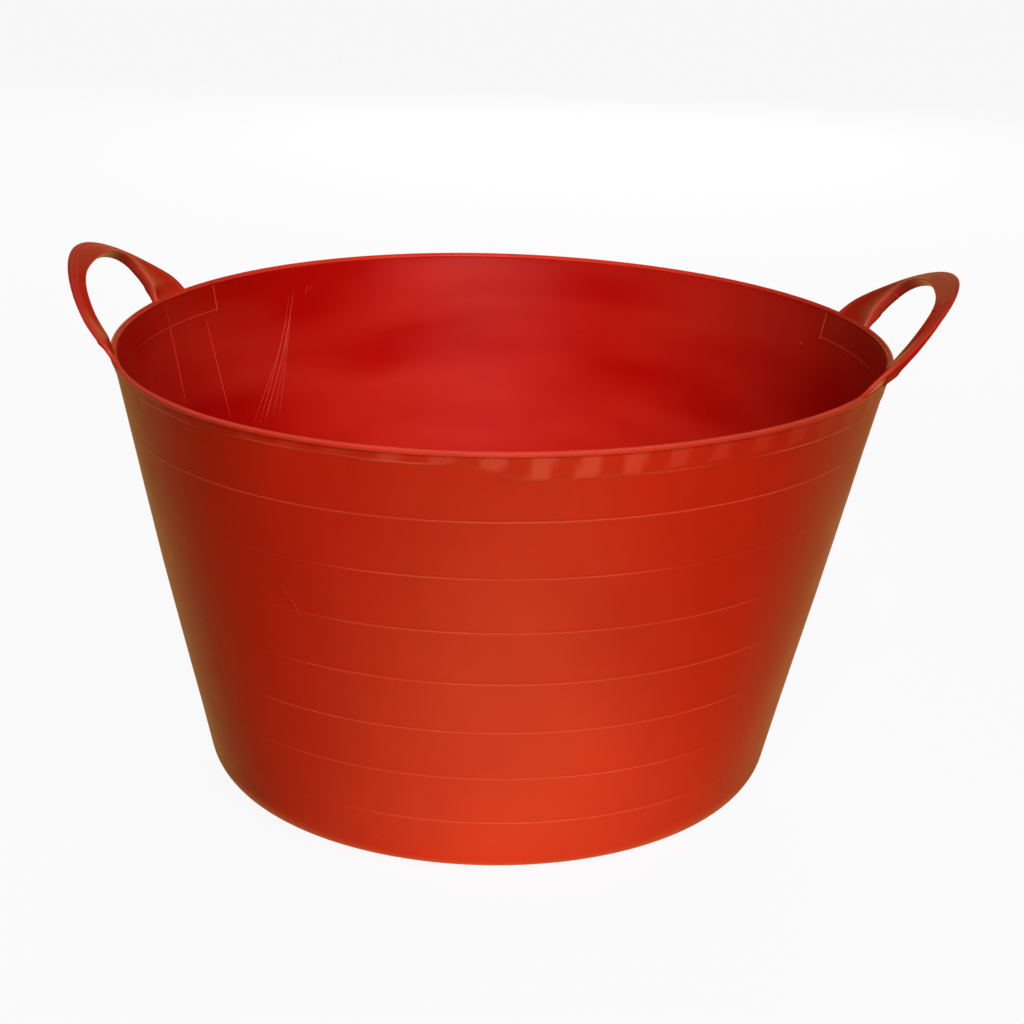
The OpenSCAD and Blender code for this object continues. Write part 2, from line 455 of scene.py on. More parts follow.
def disc(name, profile, materials, slots):
    """A closed round plate. profile runs from the axis on one face, round the edge, back to the axis."""
    rows = len(profile)
    points = [(0, 0, profile[0][1])]
    for radius, height in profile[1:-1]:
        points += [(radius * math.cos(a), radius * math.sin(a), height) for a in angles]
    points.append((0, 0, profile[-1][1]))
    last = len(points) - 1
    faces = [(0, 1 + (j + 1) % ROUND, 1 + j) for j in range(ROUND)]
    for a, b, c, d in grid_faces(rows - 2, ROUND, wrap_columns=True):
        faces.append((a + 1, b + 1, c + 1, d + 1))
    start = 1 + (rows - 3) * ROUND
    faces += [(start + j, start + (j + 1) % ROUND, last) for j in range(ROUND)]
    face_materials = np.repeat(slots, ROUND)
    return make_object(name, out_of_round(points), faces, materials, face_materials)


MOULD_RINGS = (60 * MM, 110 * MM)
MOULD_RING_H = 0.3 * MM


def floor_under():
    """The floor's underside from the axis outwards: the sprue mark and two faint rings."""
    mark_z = FLOOR_Z - 0.8 * MM
    under = [(0, mark_z), (GATE_R - 1.0 * MM, mark_z), (GATE_R - 0.3 * MM, FLOOR_Z - 0.6 * MM),
             (GATE_R, FLOOR_Z - 0.1 * MM), (GATE_R + 0.4 * MM, FLOOR_Z), (40 * MM, FLOOR_Z)]
    low = FLOOR_Z - MOULD_RING_H
    for ring in MOULD_RINGS:
        under += [(ring - 1.2 * MM, FLOOR_Z), (ring - 0.5 * MM, low), (ring + 0.5 * MM, low),
                  (ring + 1.2 * MM, FLOOR_Z)]
    return under + [(130 * MM, FLOOR_Z), (HEEL_C, FLOOR_Z)]


def floor_over():
    """The floor's upper face from the heel inwards, sunk a little and dimpled over the sprue mark."""
    top = FLOOR_Z + WALL_T
    sunk = ((HEEL_C, 0), (150 * MM, 0), (100 * MM, 0.2), (60 * MM, 0.3), (12 * MM, 0.3), (9 * MM, 0.5),
            (6 * MM, 0.8), (0, 0.9))
    return [(radius, top - depth * MM) for radius, depth in sunk]


def make_floor():
    """The floor, with a shallow sprue mark under its middle and two faint rings left by the mould."""
    under, over = floor_under(), floor_over()
    slots = [0] * (len(under) - 1) + [1] * len(over)
    piece = disc("tub_floor", under + over, [base_plastic, inner_plastic], slots)
    part_of_tub(piece, "base_plastic", "floor_disc", "gate_boss")


def make_foot():
    """The low ring that the tub stands on, worn round at its edges."""
    inner = FOOT_R - FOOT_W
    soft = 0.5 * MM
    profile = [(inner + soft, 0), (FOOT_R - soft, 0), (FOOT_R - soft * 0.3, soft * 0.3), (FOOT_R, soft),
               (FOOT_R, FLOOR_Z), (inner, FLOOR_Z), (inner, soft), (inner + soft * 0.3, soft * 0.3)]
    piece = revolve("tub_foot", profile, [base_plastic])
    part_of_tub(piece, "base_plastic", "foot_ring")


def inner_line(z):
    """Radius of the wall's inner face at height z."""
    return wall_line(z + WALL_T * WALL_NORMAL[1]) - WALL_T * WALL_NORMAL[0]


PATCHES = 54               # plates of the mould round the band
COLLAR_ROWS = 36
EDGE_UP = 1.6 * MM         # the torn edge's height over the band's lowest row
LEFT_EDGE_UP = 8.5 * MM    # how much higher the edge is to the left of the front
EDGE_SOFT = 0.5 * MM
LIP_UP, LIP_W, LIP_PROUD = 0.4 * MM, 0.45 * MM, 0.20 * MM
FLAT_DEPTH = 0.22 * MM
HAIR_PALE = 0.42
# Painted reflections: how pale the flats are painted, and how far they slant.
FLAT_PAINTED_REFLECTION = 0.16
FLAT_SLANT = 0.012


def collar_wave(angle):
    """1 in the middle of each plate of the mould and 0 between two of them."""
    return 0.5 + 0.5 * np.cos(angle * PATCHES + 0.6 * np.sin(angle * 5))


def turn_from_front(angle):
    """Degrees from the front towards the right handle, -90 to 90. The back repeats the front."""
    away = np.degrees(np.angle(np.exp(1j * (angle - FRONT))))
    return np.where(np.abs(away) > 90, away - 180 * np.sign(away), away)


def between(x, start, full, fading, end):
    """1 from full to fading, 0 before start and after end."""
    return smooth(x, start, full) * (1 - smooth(x, fading, end))


def hump(x, middle, width):
    """A smooth hump of height 1."""
    return np.exp(-((x - middle) / width) ** 2)


def collar_edge():
    """Round the tub: the band's torn edge, the strength of its hairline, and how strongly the painted
    reflections on the flats show.
    """
    turn = turn_from_front(angles)
    torn = 1.1 * MM * ripples(0, 41, 0.05) + 0.5 * MM * ripples(0, 43, 0.018)
    edge = BAND_Z + EDGE_UP + torn + LEFT_EDGE_UP * (1 - smooth(turn, -4, 6))
    hair = np.clip(0.45 + 1.3 * ripples(0, 47, 0.06), 0, 1) * (1 - between(turn, -10, -6, 9, 13))
    flat_reflection_strength = np.clip(0.75 + 0.9 * ripples(0, 53, 0.12), 0.1, 1.0)
    return edge, hair, flat_reflection_strength * (0.35 + 0.65 * between(turn, -19, -13, 46, 54))


def make_collar():
    """The thicker band under the rim's edge, with the shallow flats that the mould's plates left
    and a torn-looking lower edge. The flats are painted paler as painted reflections, most in arcs at the
    front and the back."""
    edge, hair, flat_reflection_strength = collar_edge()
    heights = np.linspace(BAND_Z, RIM_LOW, COLLAR_ROWS)

    def uneven(angle, row):
        if row >= COLLAR_ROWS or row == 0:
            return np.zeros_like(angle)
        z = heights[row]
        step = COLLAR_STEP * smooth(z, edge - EDGE_SOFT, edge + EDGE_SOFT)
        fade = math.sin(math.pi * row / (COLLAR_ROWS - 1)) ** 0.6
        lip = LIP_PROUD * hair * hump(z, edge + LIP_UP, LIP_W)
        return step + lip - FLAT_DEPTH * fade * collar_wave(angle) ** 2

    # The hairline is painted paler along its lip, and the flats paler as painted reflections.
    def pale(angle, row):
        if row >= COLLAR_ROWS:
            return 0.0
        z = heights[row]
        line = HAIR_PALE * hair * hump(z, edge + LIP_UP, EDGE_SOFT)
        down = (RIM_LOW - z) / (RIM_LOW - edge)
        ends = 0.3 * flat_reflection_strength
        flat = smooth(collar_wave(angle + FLAT_SLANT * down), 0.45, 0.7)
        return line + FLAT_PAINTED_REFLECTION * flat * (1 - smooth(down, 0.55 + ends, 0.75 + ends)) * flat_reflection_strength
    outer = [(float(wall_line(z)), z) for z in heights]
    inner = [(float(inner_line(z)), z) for z in np.linspace(BAND_Z, RIM_LOW, 8)]
    slots = [0] * (len(outer) - 1) + [1] * (len(inner) + 1)
    piece = revolve("tub_collar", outer + inner[::-1], [outer_plastic, inner_plastic], slots,
                    uneven, pale=pale)
    part_of_tub(piece, "rim_plastic", "rim_collar")


BEAD_STEPS = 24
PARTING_PROUD = 0.14 * MM   # the fine ridge where the mould's halves met
BEAD_WAVE = 0.12 * MM


def bead_profile():
    """The rim's edge: a foot on the band, then over the top from outside (0) to inside (pi)."""
    round_r = BEAD_T / 2
    middle, centre_z = RIM_R - round_r, RIM_Z - round_r
    low = RIM_LOW - 0.2 * MM
    profile = [(RIM_R - BEAD_T + 0.5 * MM, low), (RIM_R - 0.7 * MM, low), (RIM_R - 0.2 * MM, low + 0.3 * MM)]
    for i in range(BEAD_STEPS + 1):
        turn = math.pi * i / BEAD_STEPS
        r = round_r + PARTING_PROUD * hump(turn, 0.5, 0.09)
        profile.append((middle + r * math.cos(turn), centre_z + r * math.sin(turn)))
    return profile + [(RIM_R - BEAD_T + 0.15 * MM, low + 0.5 * MM)]


def make_bead():
    """The rounded edge of the rim, with its fine parting ridge near the outside and a painted highlight along
    its crest.
    """
    wobble = BEAD_WAVE * ripples(0, 17, 0.06)
    foot_rows = 3

    # The crest is painted paler near the top of its round: a painted highlight.
    def pale(_, row):
        turn = math.pi * (row - foot_rows) / BEAD_STEPS
        return 0.04 + 0.20 * hump(turn, 1.1, 0.45) if 0 <= turn <= math.pi else 0.0
    piece = revolve("rim_bead_skin", bead_profile(), [rim_plastic], None, lambda _, i: wobble, 50, pale)
    part_of_tub(piece, "rim_plastic", "rim_bead")


# ---- marks inside the wall
def inside_point(angle, z, proud):
    """A place that stands out of the wall's inner face by proud."""
    r = float(inner_line(z)) - proud
    return (r * math.cos(angle), r * math.sin(angle), z)


PAD_STEPS = (120, 24)      # across and up
PAD_EDGE = 1.0 * MM
PAD_FLAT = 0.22 * MM
PAD_LINE = 0.30 * MM


def pad_height(u, v, width, tall):
    """The panel's height and the strength of its edge line, at the shares u across and v up."""
    side = min(u, 1 - u) * width
    bottom = v * tall
    upright = hump(side, 0.8 * PAD_EDGE, 0.45 * PAD_EDGE)
    level = 0.5 * (1 - 0.6 * hump(u, 0.5, 0.18)) * hump(bottom, 0.8 * PAD_EDGE, 0.45 * PAD_EDGE)
    line = max(upright, level) * min(1, side / (0.3 * PAD_EDGE))
    flat = PAD_FLAT * min(1, side / (0.5 * PAD_EDGE), bottom / (0.5 * PAD_EDGE))
    return flat + PAD_LINE * line, line


def make_pad(name, node_name, middle, pad_half, line_highlight):
    """The thin panel that the handle's insert left inside the wall: a low plateau with a raised edge line,
    painted paler along the line as a painted highlight.
    """
    low, high = PAD_Z, RIM_LOW - 0.1 * MM
    tall = high - low
    width = 2 * pad_half * inner_line(low)
    beside, above = (np.linspace(0, 4 * PAD_EDGE / length, 9) for length in (width, tall))
    us = np.unique(np.concatenate([np.linspace(0, 1, PAD_STEPS[0] + 1), beside, 1 - beside]))
    vs = np.unique(np.concatenate([np.linspace(0, 1, PAD_STEPS[1] + 1), above]))

    def place(u, v, proud):
        return inside_point(middle + (2 * u - 1) * pad_half, low + v * tall, proud)
    heights = [[pad_height(u, v, width, tall) for u in us] for v in vs]
    top = [[place(u, v, heights[j][i][0]) for i, u in enumerate(us)] for j, v in enumerate(vs)]
    back = [[place(u, v, -SUNK) for u in us] for v in vs]
    piece = closed_sheet(name, np.array(top), np.array(back), [inner_plastic])
    # The edge line is painted paler: a painted highlight.
    lines = [line_highlight * line for row in heights for _, line in row]
    paint_pale(piece, lines + [0.0] * len(lines))
    part_of_tub(piece, "wall_plastic", node_name)


def closed_sheet(name, top, back, materials):
    """A thin closed solid between two grids of points."""
    rows, columns = top.shape[:2]
    count = rows * columns
    faces = [tuple(reversed(f)) for f in grid_faces(rows, columns)]
    faces += [tuple(i + count for i in f) for f in grid_faces(rows, columns)]
    border = [(0, j) for j in range(columns)]
    border += [(i, columns - 1) for i in range(1, rows)]
    border += [(rows - 1, j) for j in range(columns - 2, -1, -1)]
    border += [(i, 0) for i in range(rows - 2, 0, -1)]
    ids = [i * columns + j for i, j in border]
    for k, a in enumerate(ids):
        b = ids[(k + 1) % len(ids)]
        faces.append((a, b, b + count, a + count))
    points = np.concatenate([top.reshape(-1, 3), back.reshape(-1, 3)])
    return make_object(name, out_of_round(points), faces, materials)


# Across a fine ridge, from foot to foot: share of its half width and of its height. The feet lie in the wall.
RIDGE = ((-1, None), (-0.55, 0.55), (0, 1), (0.55, 0.55), (1, None))
RIDGE_FOOT = 0.5 * MM
MARK_R = 0.9 * RIM_R       # about the wall's radius where the marks are


def ridge_line(path, width, proud, surface, blunt_start=False):
    """Points and faces of one fine raised line along path, a list of (angle, z).
    surface(angle, z, proud) gives a point."""
    count = len(path)
    points = []
    for i, (angle, z) in enumerate(path):
        before, after = path[max(i - 1, 0)], path[min(i + 1, count - 1)]
        along = np.array([(after[0] - before[0]) * MARK_R, after[1] - before[1]])
        along /= np.linalg.norm(along)
        side = np.array([-along[1] / MARK_R, along[0]])
        from_end = count - 1 - i if blunt_start else min(i, count - 1 - i)
        taper = min(1.0, 0.25 + 3 * from_end / (count - 1))
        half = width * taper / 2
        for across, share in RIDGE:
            height = -RIDGE_FOOT if share is None else share * proud * taper
            points.append(surface(angle + side[0] * half * across, z + side[1] * half * across, height))
    around = len(RIDGE)
    faces = grid_faces(count, around)
    faces += [(i * around + 4, i * around, (i + 1) * around, (i + 1) * around + 4) for i in range(count - 1)]
    last = (count - 1) * around
    faces += [(0, 4, 3, 2, 1), (last, last + 1, last + 2, last + 3, last + 4)]
    return points, faces


def merge_lines(name, lines, materials):
    """All the lines as one piece."""
    points, faces = [], []
    for line_points, line_faces in lines:
        start = len(points)
        points += line_points
        faces += [tuple(i + start for i in f) for f in line_faces]
    piece = make_object(name, out_of_round(points), faces, materials, sharp=60)
    outward(piece)
    return piece


def seen(degrees):
    """Angle in the model of a place counted from the right of the view, anticlockwise from above."""
    return math.radians(degrees) + VIEW_TURN


def bent_path(start, end, bend, count=16):
    """Path from start to end, both (degrees in the view, height in mm), bowed sideways by bend degrees."""
    path = []
    for i in range(count):
        share = i / (count - 1)
        turn = start[0] + (end[0] - start[0]) * share + bend * math.sin(math.pi * share)
        path.append((seen(turn), (start[1] + (end[1] - start[1]) * share) * MM))
    return path


# Marks: start, end, bend, width and height of each ridge in mm
FLOW_LINES = [((127.1, 278), (137.5, 192), -1.2, 0.9, 0.26),
              ((128.2, 274.5), (139.1, 190), -1.2, 0.8, 0.28),
              ((127.4, 276), (134.6, 184.6), -0.3, 0.7, 0.20),
              ((128.0, 268), (138.2, 187), -1.0, 0.7, 0.22),
              ((129.0, 260), (140.2, 193), -0.9, 0.7, 0.20),
              ((129.4, 250), (136.2, 188), -0.5, 0.6, 0.18),
              ((124.1, 280.5), (125.0, 274.4), 0.0, 0.8, 0.24),
              ((123.3, 280.5), (124.1, 276), 0.0, 0.6, 0.20)]
INSIDE_SCRATCHES = [((90.6, 218.5), (87.6, 223.9), 0.1, 0.5, 0.14),
                    ((75, 240), (72.5, 243), 0.1, 0.5, 0.08)]
OUTSIDE_SCRATCHES = [((-122.8, 196), (-119.9, 174.6), 0.25, 0.6, 0.16),
                     ((-39.6, 208.2), (-34.7, 209.5), 0.3, 0.5, 0.08),
                     ((-38.6, 210.5), (-35.5, 212.0), 0.2, 0.4, 0.06),
                     ((-128.3, 220.9), (-125.1, 219.5), 0.1, 0.6, 0.10)]
FLOW_PALE = 0.15
# Pips: degrees in the view, height and radius in mm
INSIDE_SPECKS = [(28.2, 267, 0.9), (92.9, 159.3, 0.6)]
OUTSIDE_SPECKS = [(-110.7, 25, 0.8), (-54.8, 81.5, 0.6), (-37.6, 46.8, 0.7)]
# Upright seams beside a handle, in degrees and mm: turn from the handle, drift, top, bottom, height
SEAMS = ((17.6, 0.3, RIM_LOW / MM - 0.3, 224, 0.42), (28.5, 1.8, 271.5, 199.6, 0.34))
SEAM_W = 0.95 * MM
RIGHT_SEAMS_FAINT = 0.25   # share of the left seams' height that the right ones have
SEAM_STEPS = 23


def make_seams():
    """Upright seams that the handles' inserts left inside the wall."""
    lines = []
    for middle, share in ((0, RIGHT_SEAMS_FAINT), (math.pi, 1.0)):
        for side in (-1, 1):
            for turn, drift, top, bottom, proud in SEAMS:
                path = []
                for i in range(SEAM_STEPS + 1):
                    angle = middle + side * math.radians(turn + drift * i / SEAM_STEPS)
                    path.append((angle, (top + (bottom - top) * i / SEAM_STEPS) * MM))
                lines.append(ridge_line(path, SEAM_W, share * proud * MM, inside_point, True))
    piece = merge_lines("mould_seams", lines, [mark_plastic])
    part_of_tub(piece, "wall_plastic", "seam_lines")


def make_marks(name, marks, surface, material, pale):
    """Fine ridges that stand on the wall, pale along their crests."""
    lines = [ridge_line(bent_path(start, end, bend), width * MM, proud * MM, surface)
             for start, end, bend, width, proud in marks]
    piece = merge_lines(name, lines, [material])
    across = [0, 0.6 * pale, pale, 0.6 * pale, 0]
    paint_pale(piece, np.tile(across, len(piece.data.vertices) // len(across)))
    part_of_tub(piece, "wall_plastic")


PIP = ((1.0, -0.3), (0.8, 0.45), (0.45, 0.8))   # a pip's rings: share of its radius and of its height
PIP_AROUND = 14
PIP_H = 0.5                                     # height of a pip in radii


def pip(turn, z, radius, surface):
    """Points of one small round pip, ring by ring, then its top."""
    angle = seen(turn)
    points = []
    for ring, height in PIP:
        for k in range(PIP_AROUND):
            a = 2 * math.pi * k / PIP_AROUND
            across = radius * ring * MM * math.cos(a) / RIM_R
            up = (z + radius * ring * math.sin(a)) * MM
            points.append(surface(angle + across, up, PIP_H * radius * height * MM))
    points.append(surface(angle, z * MM, PIP_H * radius * MM))
    return points


def pip_faces(start):
    """Faces of a pip whose points begin at start."""
    around = PIP_AROUND
    pairs = [(k, (k + 1) % around) for k in range(around)]
    faces = []
    for ring in range(len(PIP) - 1):
        low = start + ring * around
        faces += [(low + a, low + b, low + b + around, low + a + around) for a, b in pairs]
    last = start + (len(PIP) - 1) * around
    faces += [(last + a, last + b, last + around) for a, b in pairs]
    faces.append(tuple(start + k for k in range(around)))
    return faces


def make_specks(name, places, surface):
    """Small round pips on the wall."""
    points, faces = [], []
    for turn, z, radius in places:
        faces += pip_faces(len(points))
        points += pip(turn, z, radius, surface)
    piece = make_object(name, out_of_round(points), faces, [mark_plastic], sharp=60)
    outward(piece)
    part_of_tub(piece, "wall_plastic")


def outside_point(angle, z, proud):
    """A place that stands out of the wall's outer face by proud."""
    r = float(wall_line(z)) + proud
    return (r * math.cos(angle), r * math.sin(angle), z)


make_wall()
make_heel()
make_floor()
make_foot()
make_collar()
make_bead()
make_pad("left_insert_panel", "left_insert_pad", math.pi, LEFT_PAD_HALF, 0.35)
make_pad("right_insert_panel", "right_insert_pad", 0.0, RIGHT_PAD_HALF, 0.55)
make_seams()
make_marks("flow_lines", FLOW_LINES + INSIDE_SCRATCHES, inside_point, inner_plastic, FLOW_PALE)
make_marks("outer_scratches", OUTSIDE_SCRATCHES, outside_point, mark_plastic, 0.0)
make_specks("inner_specks", INSIDE_SPECKS, inside_point)
make_specks("outer_specks", OUTSIDE_SPECKS, outside_point)


# ---- the handles
# Cubic outlines of a loop, from the rim to the crown, as (across, up)
OUTER = [(1.07 * ROOT_HALF, 0), (1.05 * ROOT_HALF, 0.49 * LOOP_H), (0.455 * ROOT_HALF, LOOP_H), (0, LOOP_H)]
HOLE = [(67 * MM, 0), (80 * MM, 42.4 * MM), (34 * MM, 43 * MM), (0, 43 * MM)]
ROOT_DEPTH = 12 * MM
LOOP_FLAT = 0.79       # how much of the rim's curve is left in a loop above the rim
EDGE_T = 2.7 * MM      # thickness at the outer edge
FLANGE_T = 8.0 * MM    # depth of the flange round the hole
FLANGE_W = 2.5 * MM
STEP_H = 25 * MM       # height of the small step in the hole's edge
STEP_OUT = 0.9 * MM
# How far the inner face lies inside the rim's edge, and how much further at the hole
LEG_BACK = (5.2 * MM, 1.5 * MM)
CROWN_BACK = (2.8 * MM, 7.2 * MM)
ROOT_BACK = 3.2 * MM
ROOT_RISE = (-1 * MM, 14 * MM)       # heights between which the root turns into the leg
WALL_BACK = 2.4 * MM                 # how deep the root's inner face lies in the wall
WALL_JOIN = (-4 * MM, 1 * MM)        # heights between which the root leaves the wall
FLAT_H = 25 * MM                     # height from which a loop is flatter than the rim
# How each loop leans out: slope, curl at the crown, and how far its middle is pushed towards the front
LEFT_LEAN = (0.42, 7.5 * MM, 7 * MM)
RIGHT_LEAN = (0.69, 3.2 * MM, 2 * MM)


def cubic(points, t):
    """A point on a cubic curve."""
    a, b, c, d = (np.array(p, float) for p in points)
    return (1 - t) ** 3 * a + 3 * (1 - t) ** 2 * t * b + 3 * (1 - t) * t * t * c + t ** 3 * d


def inner_reach(h, lean, hole_side):
    """Radius of a loop's inner face at height h over the rim.
    hole_side is 0 at the outer edge and 1 at the hole."""
    slope, curl, _ = lean
    rise = smooth(h, 0, CURL_H)
    on_leg = LEG_BACK[0] + LEG_BACK[1] * hole_side
    at_crown = CROWN_BACK[0] + CROWN_BACK[1] * hole_side
    root = 1 - smooth(h, *ROOT_RISE)
    set_back = (on_leg * (1 - rise) + at_crown * rise) * (1 - root) + ROOT_BACK * root
    above = RIM_R - set_back + slope * h + curl * (h / CURL_H) ** 2
    below = wall_line(RIM_Z + h) - WALL_BACK
    share = smooth(h, *WALL_JOIN)
    return above * share + below * (1 - share)


def face_point(across, h, lean, hole_side):
    """Point on a loop's inner face. The loop keeps the rim's curve at its root and flattens above it."""
    r = inner_reach(h, lean, hole_side)
    curve = 1 + (LOOP_FLAT - 1) * np.clip(h / FLAT_H, 0, 1)
    sag = r - math.sqrt(max(r * r - across * across, 1e-9))
    return np.array([r - curve * sag, across, RIM_Z + h])


def face_normal(across, h, lean):
    """Direction from a loop's inner face to its outer face."""
    step = 0.3 * MM
    along = face_point(across + step, h, lean, 0.5) - face_point(across - step, h, lean, 0.5)
    upward = face_point(across, h + step, lean, 0.5) - face_point(across, h - step, lean, 0.5)
    normal = np.cross(along, upward)
    return normal / np.linalg.norm(normal)


# Fine lines along the strap's outer edge, in mm: distance from the edge, then depth on a leg and at the crown
EDGE_STEPS = [(1.0, 0.0, 0.0), (1.3, 0.28, 0.0), (1.55, 0.42, 0.0), (1.8, 0.28, 0.0), (2.1, -0.08, 0.0),
              (2.4, -0.16, 0.05), (2.7, -0.06, 0.12), (3.0, 0.25, 0.16), (3.25, 0.4, 0.12),
              (3.5, 0.25, 0.05), (3.9, -0.06, 0.0), (4.3, -0.08, 0.0), (4.8, 0.0, 0.0)]


def corner(x, y, r, start, steps=5):
    """Quarter circle as (across, depth) points, centred at (x, y), turning from the angle start."""
    turns = [math.radians(start - 90 * i / (steps - 1)) for i in range(steps)]
    return [(x + r * math.cos(turn), y - r * math.sin(turn)) for turn in turns]


EDGE_ROUND = 0.75 * MM
LIP_ROUND = 0.8 * MM
# Painted highlights: how pale the strap's edge round, its standing fine lines and the edge's side are
# painted.
EDGE_HIGHLIGHT, STEP_HIGHLIGHT, SIDE_HIGHLIGHT = 0.12, 0.16, 0.1
# The flange's foot on the outer face: mm from its line, share of its depth
FLANGE_FOOT = ((0.1, 0.98), (-0.25, 0.85), (-0.5, 0.4), (-0.8, 0.12), (-1.4, 0))


def inner_face(width, leg, root):
    """The strap's inner face from its outer edge to the hole, as (across, under, painted highlight)."""
    points = [(x, y, EDGE_HIGHLIGHT) for x, y in corner(EDGE_ROUND, EDGE_ROUND, EDGE_ROUND, 180)]
    for across, on_leg, at_crown in EDGE_STEPS:
        under = on_leg * leg + at_crown * (1 - leg)
        points.append((across * MM, under * MM, STEP_HIGHLIGHT if under <= 0 else 0))
    hollow = (0.15 + 0.75 * leg * (1 - 0.5 * root)) * MM
    start, end = 5.2 * MM, width - 1.8 * MM
    steps = 9
    for i in range(steps + 1):
        share = i / steps
        rise = float(between(share, 0, 0.5, 0.8, 1))
        points.append((start + (end - start) * share, hollow * rise, 0))
    return points


def hole_face(width, flange_t, leg, lip_out):
    """The flange round the hole, from the inner face to the outer one, with a painted highlight on its lip
    and side.
    """
    # The lip round the hole is painted paler on the legs: a painted highlight.
    shine = 0.10 + 0.35 * leg
    points = [(width - 1.5 * MM, -0.02 * MM, 0), (width - 1.15 * MM, -0.06 * MM, shine)]
    points += [(x, y, shine) for x, y in corner(width - LIP_ROUND, LIP_ROUND, LIP_ROUND, 90)]
    for share in (0.25, 0.5, 0.75):
        points.append((width + lip_out, LIP_ROUND + (flange_t - 2 * LIP_ROUND) * share, EDGE_HIGHLIGHT * leg))
    return points + [(x, y, 0) for x, y in corner(width - LIP_ROUND, flange_t - LIP_ROUND, LIP_ROUND, 0)]


def outer_face(width, edge_t, flange_t):
    """The strap's outer face from the flange back to the outer edge, and the edge itself, with a painted
    highlight on the edge's side.
    """
    web = min(edge_t + 0.2 * MM, flange_t)
    foot = width - FLANGE_W
    points = [(foot + out * MM, web + down * (flange_t - web), 0) for out, down in FLANGE_FOOT]
    for share in (0.2, 0.4, 0.6, 0.8):
        points.append((foot - 1.4 * MM - (foot - 3 * MM) * share, web - 0.2 * MM * share, 0))
    points.append((1.6 * MM, edge_t, 0))
    points += [(x, y, 0) for x, y in corner(EDGE_ROUND, edge_t - EDGE_ROUND, EDGE_ROUND, 270)]
    side_h = edge_t - 2 * EDGE_ROUND
    for share, out in ((0.25, 0.02), (0.5, 0.12), (0.75, 0.02)):
        points.append((-out * MM, edge_t - EDGE_ROUND - side_h * share, SIDE_HIGHLIGHT))
    return points


def section(width, edge_t, flange_t, leg, root, lip_out):
    """A loop's cross-section as (from the outer edge, under the inner face, painted highlight), once round: a
    thin web with fine lines along its edge, a slightly hollow inner face and a deep flange round the hole."""
    points = inner_face(width, leg, root) + hole_face(width, flange_t, leg, lip_out)
    return points + outer_face(width, edge_t, flange_t)


LOOP_STEPS = 110
STEP_TURN = 0.003          # how far apart the stations beside the step are
ROOT_STEPS = 12
ROOT_SPREAD = 0.1          # how much the root widens with depth


def loop_stations():
    """Pairs of points on the outer and the hole's outline from one root to the crown, closer at the step."""
    fine = 2000
    step_t = next(i / fine for i in range(fine) if cubic(HOLE, i / fine)[1] >= STEP_H)
    ts = list(np.linspace(0, 1, LOOP_STEPS))
    ts += [step_t + k * STEP_TURN for k in (-3, -2, -1, -0.5, 0, 0.5, 1, 2, 3)]
    stations = []
    for depth in np.linspace(ROOT_DEPTH, 0.6 * MM, ROOT_STEPS):
        outer = np.array([OUTER[0][0] + ROOT_SPREAD * depth, -depth])
        hole = np.array([HOLE[0][0] - ROOT_SPREAD * depth, -depth])
        stations.append((outer, hole, 0.0))
    for t in sorted(set(round(t, 5) for t in ts)):
        stations.append((cubic(OUTER, t), cubic(HOLE, t), t))
    return stations, step_t


def loop_row(outer, hole, t, step_t, lean):
    """One ring of points round a loop's strap, and how much painted highlight each has."""
    width = float(np.linalg.norm(face_point(*hole, lean, 1) - face_point(*outer, lean, 0)))
    height = (outer[1] + hole[1]) / 2
    leg = 1 - float(smooth(t, 0.25, 0.75))
    root = 1 - float(smooth(height, 0, 9 * MM))
    sunk = 1 - float(smooth(height, *WALL_JOIN))
    edge_t = EDGE_T - 0.5 * MM * sunk
    flange_t = (FLANGE_T - 3.4 * MM * root) * (1 - sunk) + 2.4 * MM * sunk
    from_step = (t - step_t) / 0.004
    lip_out = STEP_OUT * (1 - float(smooth(from_step, -1, 1))) + 0.4 * MM * math.exp(-from_step ** 2)
    row, pale = [], []
    for across, under, painted_highlight in section(width, edge_t, flange_t, leg, root, lip_out * (1 - sunk)):
        share = across / width
        place = outer + (hole - outer) * share
        row.append(face_point(*place, lean, share) + face_normal(*place, lean) * under)
        pale.append(painted_highlight * (1 - sunk))
    return row, pale


def make_loop(name, side, lean, nodes):
    """One handle as one mesh, from inside the rim's front over the crown to inside its rear."""
    stations, step_t = loop_stations()
    built = [loop_row(outer, hole, t, step_t, lean) for outer, hole, t in stations]
    half = [row for row, _ in built]
    front = [[(side * x, -y, z) for x, y, z in row] for row in half]
    rear = [[(side * x, y, z) for x, y, z in row] for row in reversed(half[:-1])]
    points = np.array(front + rear)
    height = np.clip((points[:, :, 2] - RIM_Z) / LOOP_H, 0, 1)
    points[:, :, 1] -= lean[2] * np.sin(np.pi * height)
    count, around = points.shape[:2]
    faces = grid_faces(count, around, wrap_columns=True)
    last = (count - 1) * around
    faces += [tuple(range(around)), tuple(range(last + around - 1, last - 1, -1))]
    piece = make_object(name, out_of_round(points), faces, [handle_plastic])
    outward(piece)
    piece.data.set_sharp_from_angle(angle=math.radians(40))
    # The painted highlights along the straps' edges and lips.
    pale = [amounts for _, amounts in built]
    paint_pale(piece, pale + pale[-2::-1])
    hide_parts(*nodes)
    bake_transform(piece)


make_loop("left_loop", -1, LEFT_LEAN,
          ["left_handle_front_leg", "left_handle_rear_leg", "left_handle_grip"])
make_loop("right_loop", 1, RIGHT_LEAN,
          ["right_handle_front_leg", "right_handle_rear_leg", "right_handle_grip"])


